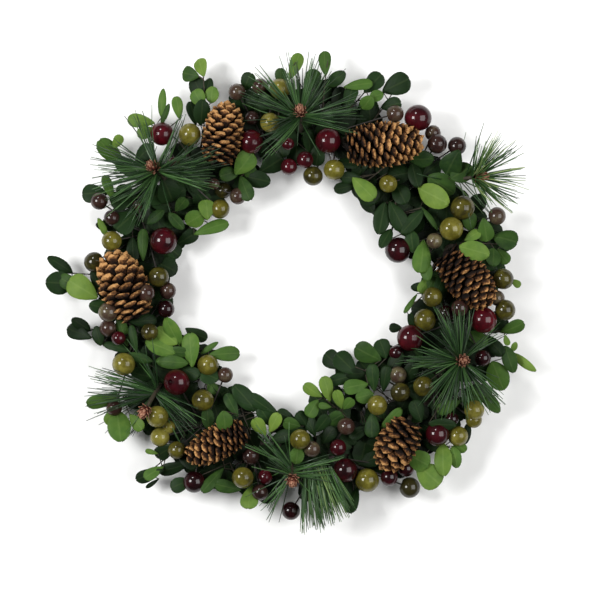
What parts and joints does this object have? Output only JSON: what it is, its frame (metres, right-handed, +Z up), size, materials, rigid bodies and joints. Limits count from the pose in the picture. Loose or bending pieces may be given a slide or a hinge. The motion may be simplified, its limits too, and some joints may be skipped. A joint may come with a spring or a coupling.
{
  "type": "evergreen wreath",
  "caption": "Round evergreen wreath lying face up: a twisted vine ring with leafy sprigs, pine sprays, pine cones and glossy berries.",
  "frame": {"origin": "on the floor under the middle of the wreath's outline", "axes": "+Z up, out of the wreath's face; +Y towards the top of the wreath as it hangs; +X to the right of its face"},
  "size_m": [0.4374, 0.4316, 0.108],
  "materials": {
    "vine": "matte",
    "wire": "satin",
    "cone": "matte",
    "bud": "matte",
    "needle": "satin",
    "leaf_dark": "satin",
    "leaf_light": "satin",
    "berry_wine": "gloss",
    "berry_olive": "gloss",
    "berry_brown": "gloss"
  },
  "bodies": {
    "root": {"vine_1": "vine", "vine_2": "vine", "vine_3": "vine", "binding_wire": "wire", "cone_1": "cone", "cone_2": "cone", "cone_3": "cone", "cone_4": "cone", "cone_5": "cone", "cone_6": "cone", "pine_spray_1": "needle", "pine_spray_2": "needle", "pine_spray_3": "needle", "pine_spray_4": "needle", "pine_spray_5": "needle", "pine_spray_6": "needle", "pine_bud_1": "bud", "pine_bud_2": "bud", "pine_bud_3": "bud", "pine_bud_4": "bud", "pine_bud_5": "bud", "pine_bud_6": "bud", "berries_1": "berry_olive", "berries_2": "berry_wine", "berries_3": "berry_wine", "berries_4": "berry_olive", "berries_5": "berry_olive", "berries_6": "berry_olive", "berries_7": "berry_wine", "berries_8": "berry_brown", "berries_9": "berry_olive", "berries_10": "berry_brown", "berries_11": "berry_brown", "berries_12": "berry_wine", "leaves_top_left": "leaf_light", "leaves_left_high": "leaf_dark", "leaves_left": "leaf_dark", "leaves_inner_high_left": "leaf_light", "leaves_inner_top_left": "leaf_dark", "leaves_top": "leaf_light", "leaves_top_right": "leaf_light", "leaves_outer_right_top": "leaf_dark", "leaves_inner_right_high": "leaf_dark", "leaves_right_high": "leaf_light", "leaves_right": "leaf_light", "leaves_inner_right": "leaf_light", "leaves_right_low": "leaf_dark", "leaves_right_corner": "leaf_dark", "leaves_inner_low_right": "leaf_dark", "leaves_inner_low": "leaf_light", "leaves_low_inner": "leaf_dark", "leaves_low_right": "leaf_light", "leaves_low": "leaf_dark", "leaves_low_left": "leaf_light", "leaves_left_corner": "leaf_light", "leaves_left_low": "leaf_light", "leaves_inner_low_left": "leaf_dark", "leaves_outer_left": "leaf_light", "leaves_left_lower": "leaf_dark", "leaves_inner_left": "leaf_light"}
  },
  "joints": []
}
